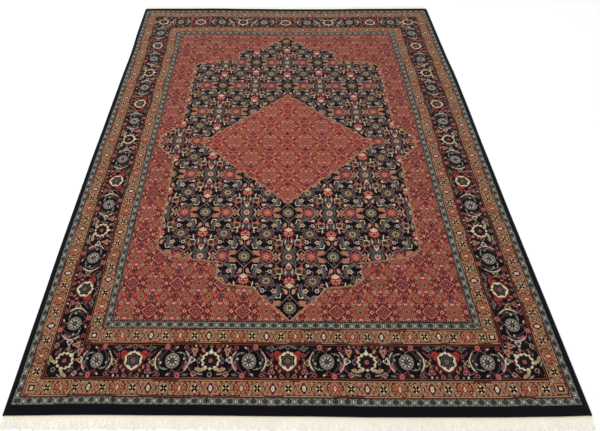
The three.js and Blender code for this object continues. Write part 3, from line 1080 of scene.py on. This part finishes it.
guard.lozenge((0, 0), (20, 27), {"rust": 1, "brown": 0.86})
guard.oval((0, 0), (7.4, 11.6), {"ivory": 1, "rose": 0.34})
guard.lozenge((PALE_SEED, 0), (13, 21), {"brown": 1, "tan": 0.74})
guard.oval((PALE_SEED, 0), (4.4, 9), {"cream": 1, "rose": 0.5})
guard.finished()


def band_steps(name, steps):
    """A band's middle, its half width, how far its corners lie from the rug's middle, and the pitch of
    its figures, given its number of steps from the middle of each end and each side to the corners."""
    starts_at, ends_at = band_limits(name)
    centre = (starts_at + ends_at) / 2
    to_corner = (LOOM_HALF_WIDTH - centre, LOOM_HALF_LENGTH - end_distance(centre))
    pitches = [length / count for length, count in zip(to_corner, steps)]
    return centre, (ends_at - starts_at) / 2, to_corner, pitches


def guard_design(name, steps, starts):
    """A tan guard between waved and straight edge lines, with a square in each corner."""
    centre, half, to_corner, pitches = band_steps(name, steps)

    def design(nodes, loom):
        run, inward = band_place(nodes, loom, centre, pitches, starts)
        step = nodes.math("MULTIPLY", nodes.math("PINGPONG", run, 2), GUARD_STEP)
        number = guard.put_in(nodes, Place=nodes.place(step, inward))["Wool"]
        ripple = nodes.math("MULTIPLY", nodes.math("PINGPONG", run, 0.25), GUARD_RIPPLE * 4)
        out = nodes.math("ABSOLUTE", inward)
        for inset, thick, wool in ((4.6, 1.4, "brown"), (2.4, 1.3, "camel")):
            waved = nodes.math("COMPARE", nodes.math("ADD", out, ripple), half - inset, thick)
            number = nodes.pick(waved, number, number_of(wool))
        for inset, wool in ((8, "brown"), (6, "camel"), (4.6, "rust"), (2.4, "brown")):
            straight = nodes.math("GREATER_THAN", out, half - inset)
            number = nodes.pick(straight, number, number_of(wool))
        sideways, lengthways = (
            nodes.math("ABSOLUTE", nodes.math("SUBTRACT", nodes.math("ABSOLUTE", place), at))
            for place, at in zip(nodes.parts(loom["Chart"]), to_corner)
        )
        off_corner = nodes.math("MAXIMUM", sideways, lengthways)
        for size, wool in ((25, "brown"), (22, "tan"), (14, "brown"), (7, "cream"), (2, "olive")):
            number = nodes.pick(nodes.math("LESS_THAN", off_corner, size), number, number_of(wool))
        return number

    return design


# The two narrow guards: small dark rosettes in pale rings, with a white seed between
NARROW_STEP = 51
NARROW_EDGE = 2.5
narrow = Chart("rosettes of the narrow guard", "Ground", ("Ground", "Ring", "Rosette"))
narrow.oval((0, 0), (19, 14), {"Ring": 1, "Ground": 0.86})
narrow.flower((0, 0), (12.6, 9.6), 6, "Rosette", depth=0.16, turn=30)
narrow.petals((0, 0), 6, 6, (1.8, 1.6), "Ground")
narrow.oval((NARROW_STEP / 2, 0), (5.2, 11), {"Rosette": 1, "Ring": 0.72})
narrow.oval((NARROW_STEP / 2, 0), (2.6, 6), "ivory")
narrow.finished()


def narrow_design(name, steps, **wools):
    """A narrow guard between two dark lines, in its own three wools."""
    centre, half, _, pitches = band_steps(name, steps)
    numbers = {role: number_of(wool) for role, wool in wools.items()}

    def design(nodes, loom):
        run, inward = band_place(nodes, loom, centre, pitches)
        step = nodes.math("MULTIPLY", nodes.math("PINGPONG", run, 0.5), NARROW_STEP)
        number = narrow.put_in(nodes, Place=nodes.place(step, inward), **numbers)["Wool"]
        edge = nodes.math("GREATER_THAN", nodes.math("ABSOLUTE", inward), half - NARROW_EDGE)
        return nodes.pick(edge, number, numbers["Rosette"])

    return design


def knot_plain_band(nodes, loom):
    """The plain dark band round the whole rug."""
    return number_of("navy")


BAND_DESIGNS = {
    "plain band": knot_plain_band,
    "slate guard": narrow_design("slate guard", (24, 32), Ground="slate", Ring="steel", Rosette="bottle"),
    "outer tan guard": guard_design("outer tan guard", (17, 22), (3, 2)),
    "main border": knot_main_border,
    "inner tan guard": guard_design("inner tan guard", (14, 18), (2, 2)),
    "teal guard": narrow_design("teal guard", (18, 25), Ground="teal", Ring="steel", Rosette="bottle"),
    "field": knot_field,
}
pile_wools = [wool_material(f"wool of the {band['name']}", BAND_DESIGNS[band["name"]]) for band in BANDS]

# The back of the knots. Each knot wraps its warps, so the same design shows underneath, flat and firm.
BACK_STEP = 0.06
BACK_HEIGHT = 0.0005
BACK_INSET = 0.003
back_columns, back_rows = (
    np.unique(np.clip(loom_lines(half, limits, BACK_STEP)[0], BACK_INSET - half, half - BACK_INSET))
    for half, limits in ((PILE_HALF_WIDTH, side_limits), (PILE_HALF_LENGTH, end_limits))
)
back_heights = np.full((len(back_rows), len(back_columns)), BACK_HEIGHT)
back_mesh = cloth_mesh("back", back_columns, back_rows, back_heights)
back_mesh.flip_normals()
back = bpy.data.objects.new("back_of_the_knots", back_mesh)
scene.collection.objects.link(back)

for sheet in (pile, back):
    for wool in pile_wools:
        sheet.data.materials.append(wool)
    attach(sheet, "root")
    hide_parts("pile")

# The side cords. Dark wool is overcast over two thick cords along each long side, as the knots rise,
# so every turn lies beside the last and leaves a groove.
CORD_CENTRE = 0.0053
CORD_HALF_WIDTH = 0.005
CORD_HALF_HEIGHT = 0.0044
CORD_RISE = 0.0046
CORD_SIDES = 10
CORD_TAPER = 0.006
CORD_TIP = 0.6
TURN_PITCH = 0.0032
TURN_SWELL = (0.93, 1.0, 1.02, 1.0)
TURN_SLANT = 0.0011


def swept(name, centres, across, up, profile, tiles):
    """Closed strands of one form. Each runs through its centres, with its half width and half height
    there as vectors, and has a profile in shares of the two. The map lays them in rows of so many."""
    strands, steps = centres.shape[:2]
    sides = len(profile)
    rings = (
        centres[:, :, None]
        + across[:, :, None] * profile[:, 0, None]
        + up[:, :, None] * profile[:, 1, None]
    )
    forward = centres[0, 1] - centres[0, 0]
    flipped = np.dot(np.cross(up[0, 0], forward), across[0, 0]) < 0
    number = np.arange(strands * steps * sides).reshape(strands, steps, sides)
    start, ahead = number[:, :-1], number[:, 1:]
    walls = np.stack([start, np.roll(start, -1, 2), np.roll(ahead, -1, 2), ahead], -1).reshape(-1, 4)
    ends = np.stack([number[:, 0, ::-1], number[:, -1]], 1).reshape(-1, sides)
    if flipped:
        walls, ends = walls[:, ::-1], ends[:, ::-1]
    mesh = bpy.data.meshes.new(name)
    mesh.from_pydata(rings.reshape(-1, 3).tolist(), [], walls.tolist() + ends.tolist())
    mesh.polygons.foreach_set("use_smooth", np.ones(len(walls) + len(ends), dtype=bool))

    run = np.linalg.norm(np.diff(centres, axis=1), axis=2).cumsum(1)
    run = np.concatenate([np.zeros((strands, 1)), run], 1)
    turn = np.linspace(0, 1, sides + 1)
    around, along = np.broadcast_arrays(turn[None, None], run[:, :, None])
    strand = np.arange(strands)
    column, row = (strand % tiles)[:, None, None], (strand // tiles)[:, None, None]

    # each strand's tile of the baked map holds its wall, and above it the two ends side by side
    tile = np.array([1 / tiles, 1 / -(-strands // tiles)])
    share = along / run[:, -1, None, None]
    flat = np.stack([column + 0.05 + 0.9 * around, row + 0.05 + 0.85 * share], -1) * tile
    yarn = np.stack([around + 0 * share, along / MM], -1)
    loop = np.stack([np.cos(turn[:-1] * math.tau), np.sin(turn[:-1] * math.tau)], -1)
    cap = np.stack([column[:, 0], row[:, 0]], -1)
    caps = [(cap + (middle, 0.95) + (0.2, 0.03) * loop) * tile for middle in (0.25, 0.75)]
    cap_turns = np.tile(np.stack([turn[:-1], np.zeros(sides)], -1), (strands, 2, 1))
    for layer, wall_values, end_values in (
        ("yarn", yarn, cap_turns.reshape(-1, sides, 2)),
        ("OFBake", flat, np.stack([caps[0][:, ::-1], caps[1]], 1).reshape(-1, sides, 2)),
    ):
        a, b = wall_values[:, :-1, :-1], wall_values[:, :-1, 1:]
        c, d = wall_values[:, 1:, 1:], wall_values[:, 1:, :-1]
        corners = np.stack([a, b, c, d], 3).reshape(-1, 4, 2)
        if flipped:
            corners, end_values = corners[:, ::-1], end_values[:, ::-1]
        uv = mesh.uv_layers.new(name=layer)
        uv.data.foreach_set("uv", np.concatenate([corners.reshape(-1), end_values.reshape(-1)]))
    mesh.uv_layers["yarn"].active_render = True
    thing = bpy.data.objects.new(name, mesh)
    scene.collection.objects.link(thing)
    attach(thing, "root")
    return thing


def round_profile(sides):
    """A round strand's section, in shares of its half width and half height."""
    angle = np.arange(sides) * math.tau / sides
    return np.stack([np.cos(angle), np.sin(angle)], -1)


# Spun fibres: plies wind round a strand, with painted shade in the grooves between them, and every stretch
# has its own tone
yarn_group = Group(
    "fibres of a yarn",
    {"Dye": "colour", "Plies": "number", "Twist": "number", "Depth": "number"},
    {"Colour": "colour", "Normal": "vector"},
)
yarn_given = yarn_group.given
yarn_around, yarn_along = yarn_group.parts(yarn_group.add("UVMap", uv_map="yarn").outputs[0])
wound = yarn_group.math("DIVIDE", yarn_along, yarn_given["Twist"])
ply = yarn_group.math("MULTIPLY_ADD", yarn_around, yarn_given["Plies"], wound)
# painted shade: the colour darkens into the grooves between the plies; the same wave also raises the bump
ply_crest_and_groove_shade = yarn_group.math("SINE", yarn_group.math("MULTIPLY", yarn_group.math("PINGPONG", ply, 0.5), math.pi))
fluff_place = yarn_group.add("NewGeometry").outputs["Position"]
fluff = yarn_group.noise(fluff_place, 900, 2.0, "3D")[0]
soil = yarn_group.noise(fluff_place, 9, 2.0, "3D")[0]
yarn_shade = 0.6
for value, weight in ((ply_crest_and_groove_shade, 0.3), (fluff, 0.22), (soil, 0.16)):
    yarn_shade = yarn_group.math("MULTIPLY_ADD", value, weight, yarn_shade)
yarn_height = yarn_group.math("MULTIPLY_ADD", fluff, 0.4, ply_crest_and_groove_shade)
yarn_group.put_out(
    Colour=yarn_group.scaled(yarn_given["Dye"], yarn_shade),
    Normal=yarn_group.bump(0.6, yarn_given["Depth"], yarn_height),
)


def yarn_material(name, colour, plies, twist, depth, roughness):
    """A yarn of one dye, with its number of plies, the mm of a turn, and its grooves' depth in metres."""
    material = bpy.data.materials.new(name)
    material.use_nodes = True
    nodes = Nodes(material.node_tree)
    yarn = yarn_group.put_in(nodes, Dye=dye(colour), Plies=plies, Twist=twist, Depth=depth)
    shader = material.node_tree.nodes["Principled BSDF"]
    nodes.give(shader.inputs["Base Color"], yarn["Colour"])
    nodes.give(shader.inputs["Normal"], yarn["Normal"])
    shader.inputs["Roughness"].default_value = roughness
    shader.inputs["Specular IOR Level"].default_value = 0.12
    shader.inputs["Sheen Weight"].default_value = 0.05
    return material


cord_wool = yarn_material("overcast dark wool", "13121a", 6, 3.2, 0.0004, 0.85)
turns = round(2 * PILE_HALF_LENGTH / TURN_PITCH)
cord_along = np.linspace(-PILE_HALF_LENGTH, PILE_HALF_LENGTH, turns * len(TURN_SWELL) + 1)
swell = np.resize(TURN_SWELL, len(cord_along))
closing = np.clip((PILE_HALF_LENGTH - np.abs(cord_along)) / CORD_TAPER, 0, 1)
swell = swell * (CORD_TIP + (1 - CORD_TIP) * np.sqrt(closing))
for side, way in (("left", -1), ("right", 1)):
    middle = np.interp(cord_along, *PILE_EDGES[side]) + way * CORD_CENTRE
    level = np.full(len(cord_along), CORD_RISE)
    none = np.zeros(len(cord_along))
    cord = swept(
        f"overcast_cord_{side}",
        np.stack([middle, cord_along, level], -1)[None],
        np.stack([swell * CORD_HALF_WIDTH, none + TURN_SLANT, none], -1)[None],
        np.stack([none, none, swell * CORD_HALF_HEIGHT], -1)[None],
        round_profile(CORD_SIDES),
        1,
    )
    cord.data.materials.append(cord_wool)
    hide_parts(f"selvedge_{side}")

# The webs. At each end the cotton wefts are beaten down without knots into a narrow flat strip over
# the ribs of the warps, so that the last row of knots can't slip.
GAP = 0.0003
WEB_DEPTH = 0.017
WEB_HALF_THICKNESS = 0.0011
WEB_LEVEL = WEB_HALF_THICKNESS + 0.0001
WEB_HALF_WIDTH = 1.248
RIB_PITCH = 0.0025
WEB_RIGHT_HALF = [(0.9, -1), (1, -0.5), (1, 0.4), (0.9, 1), (0.33, 0.94)]
WEB_PROFILE = np.array(WEB_RIGHT_HALF[1:] + [(-x, y) for x, y in WEB_RIGHT_HALF[::-1]] + WEB_RIGHT_HALF[:1])
web_cotton = yarn_material("cotton of the webs", "ebe4d0", 22, 900, 0.0003, 0.9)
ribs = round(2 * WEB_HALF_WIDTH / RIB_PITCH)
web_along = np.linspace(-WEB_HALF_WIDTH, WEB_HALF_WIDTH, 2 * ribs + 1)
rib_height = np.resize((0.8, 1.0), len(web_along)) * WEB_HALF_THICKNESS
web_middle = np.mean([corner[0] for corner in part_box("web_near")])
for end, way in (("near", -1), ("far", 1)):
    places = web_along + web_middle
    inner = np.interp(places, *PILE_EDGES[end]) + way * GAP
    none = np.zeros(len(places))
    web = swept(
        f"cotton_web_{end}",
        np.stack([places, inner + way * WEB_DEPTH / 2, none + WEB_LEVEL], -1)[None],
        np.stack([none, none + WEB_DEPTH / 2, none], -1)[None],
        np.stack([none, none, rib_height], -1)[None],
        WEB_PROFILE,
        1,
    )
    web.data.materials.append(web_cotton)
    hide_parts(f"web_{end}")

# The fringe. The warps run on out of each web in locks of a few yarns, each twisted of two plies,
# cut to no great care and lying where they fell.
LOCKS = 148
LOCK_YARNS = 7
LOCK_REACH = 1.24025
YARN_PITCH = 0.0024
YARN_HALF_WIDTH = 0.00125
YARN_RINGS = 7
YARN_SIDES = 5
YARN_ROOT = 0.012
YARN_LEVEL = 0.0011
YARN_CROSSING = 0.0009
YARN_FLATNESS = 0.8
FRINGE_LENGTH = 0.046
MAP_ROWS = 4
fringe_cotton = yarn_material("cotton of the fringe", "fbf6e8", 2, 7, 0.0003, 0.85)
for end, way, seed in (("near", -1, 11), ("far", 1, 12)):
    rng = np.random.default_rng(seed)
    count = LOCKS * LOCK_YARNS
    lock = np.repeat(np.arange(LOCKS), LOCK_YARNS)
    in_lock = np.tile(np.arange(LOCK_YARNS) - (LOCK_YARNS - 1) / 2, LOCKS)
    lock_place = np.linspace(-LOCK_REACH, LOCK_REACH, LOCKS)[lock] + web_middle
    lock_length = rng.uniform(-0.005, 0.003, LOCKS)[lock]
    lock_sway = rng.normal(0, 0.0014, LOCKS)[lock]
    length = FRINGE_LENGTH + lock_length + rng.uniform(-0.005, 0.002, count)
    sway = lock_sway + rng.normal(0, 0.0011, count)
    bend = rng.normal(0, 0.0009, count)
    share = np.linspace(0, 1, YARN_RINGS)
    root = lock_place + in_lock * YARN_PITCH
    x = root[:, None] + sway[:, None] * share**1.5 + bend[:, None] * np.sin(share * math.pi)
    x = np.clip(x, web_middle - WEB_HALF_WIDTH, web_middle + WEB_HALF_WIDTH)
    start = np.interp(root, *PILE_EDGES[end]) + way * (GAP + YARN_ROOT)
    y = start[:, None] + way * length[:, None] * share
    crossing = YARN_CROSSING * (in_lock % 2 == 0)[:, None]
    level = YARN_LEVEL + crossing * np.sin(share * math.pi * 0.9) ** 2
    thick = YARN_HALF_WIDTH * rng.uniform(0.9, 1.08, count)[:, None] * (1 - 0.25 * share**3)
    none = np.zeros_like(thick)
    fringe = swept(
        f"fringe_{end}",
        np.stack([x, y, level + none], -1),
        np.stack([thick, none, none], -1),
        np.stack([none, none, thick * YARN_FLATNESS], -1),
        round_profile(YARN_SIDES),
        count // MAP_ROWS,
    )
    fringe.data.materials.append(fringe_cotton)
    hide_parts(f"web_{end}")

# Floor and light. A white floor in an even white room, as for a shop's picture.
FLOOR_HALF = 30
FLOOR_WHITE = (0.93, 0.93, 0.93, 1)
ROOM_LIGHT = 0.96
LAMP = {"watts": 68, "wide": 3.5, "place": (-1.5, 0.3, 4.2), "tilt": (-4, -12, 0)}
floor_mesh = bpy.data.meshes.new("floor")
floor_mesh.from_pydata(
    [(x * FLOOR_HALF, y * FLOOR_HALF, 0) for x, y in ((-1, -1), (1, -1), (1, 1), (-1, 1))],
    [],
    [(0, 1, 2, 3)],
)
floor = bpy.data.objects.new("floor", floor_mesh)
scene.collection.objects.link(floor)
floor_paint = bpy.data.materials.new("white floor")
floor_paint.use_nodes = True
floor_shader = floor_paint.node_tree.nodes["Principled BSDF"]
floor_shader.inputs["Base Color"].default_value = FLOOR_WHITE
floor_shader.inputs["Roughness"].default_value = 0.9
floor_mesh.materials.append(floor_paint)

world = bpy.data.worlds.new("room")
world.use_nodes = True
room = world.node_tree.nodes["Background"]
room.inputs["Color"].default_value = (1, 1, 1, 1)
room.inputs["Strength"].default_value = ROOM_LIGHT
scene.world = world
lamp_data = bpy.data.lights.new("soft lamp", "AREA")
lamp_data.energy = LAMP["watts"]
lamp_data.size = LAMP["wide"]
lamp = bpy.data.objects.new("soft lamp", lamp_data)
lamp.location = LAMP["place"]
lamp.rotation_euler = [math.radians(angle) for angle in LAMP["tilt"]]
scene.collection.objects.link(lamp)
scene.view_settings.view_transform = "Standard"
